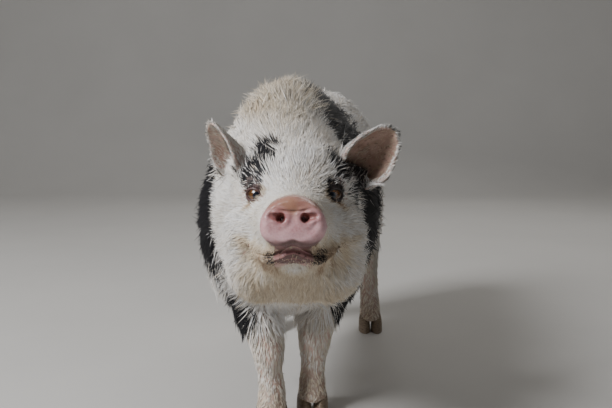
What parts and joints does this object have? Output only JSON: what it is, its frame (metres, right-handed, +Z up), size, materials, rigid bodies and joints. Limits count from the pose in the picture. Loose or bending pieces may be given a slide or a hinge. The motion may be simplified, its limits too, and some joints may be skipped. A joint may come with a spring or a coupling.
{
  "type": "domestic pig",
  "caption": "A life-size still model of a small pot-bellied domestic pig with a bristly black and white coat, standing square on its feet with its head raised.",
  "frame": {"origin": "on the floor, below the middle of the whole pig's box", "axes": "+Z up, the pig faces -Y, its own left side is at +X"},
  "size_m": [0.3106, 0.8522, 0.4731],
  "materials": {
    "coat": "bristly white hair with black patches",
    "nose": "moist pink skin",
    "ear": "pink brown skin with fine hair",
    "eye": "wet dark brown",
    "horn": "dull brown horn"
  },
  "bodies": {
    "root": {"barrel": "coat", "claw_fore_left_left": "horn", "claw_fore_left_right": "horn", "claw_fore_right_left": "horn", "claw_fore_right_right": "horn", "claw_hind_left_left": "horn", "claw_hind_left_right": "horn", "claw_hind_right_left": "horn", "claw_hind_right_right": "horn", "dewclaw_fore_left_left": "horn", "dewclaw_fore_left_right": "horn", "dewclaw_fore_right_left": "horn", "dewclaw_fore_right_right": "horn", "dewclaw_hind_left_left": "horn", "dewclaw_hind_left_right": "horn", "dewclaw_hind_right_left": "horn", "dewclaw_hind_right_right": "horn", "ear_left": "ear", "ear_right": "ear", "eye_left": "eye", "eye_right": "eye", "foreleg_left": "coat", "foreleg_right": "coat", "forequarters": "coat", "head": "coat", "hindleg_left": "coat", "hindleg_right": "coat", "hindquarters": "coat", "neck": "coat", "snout": "nose", "tail": "coat"}
  },
  "joints": []
}
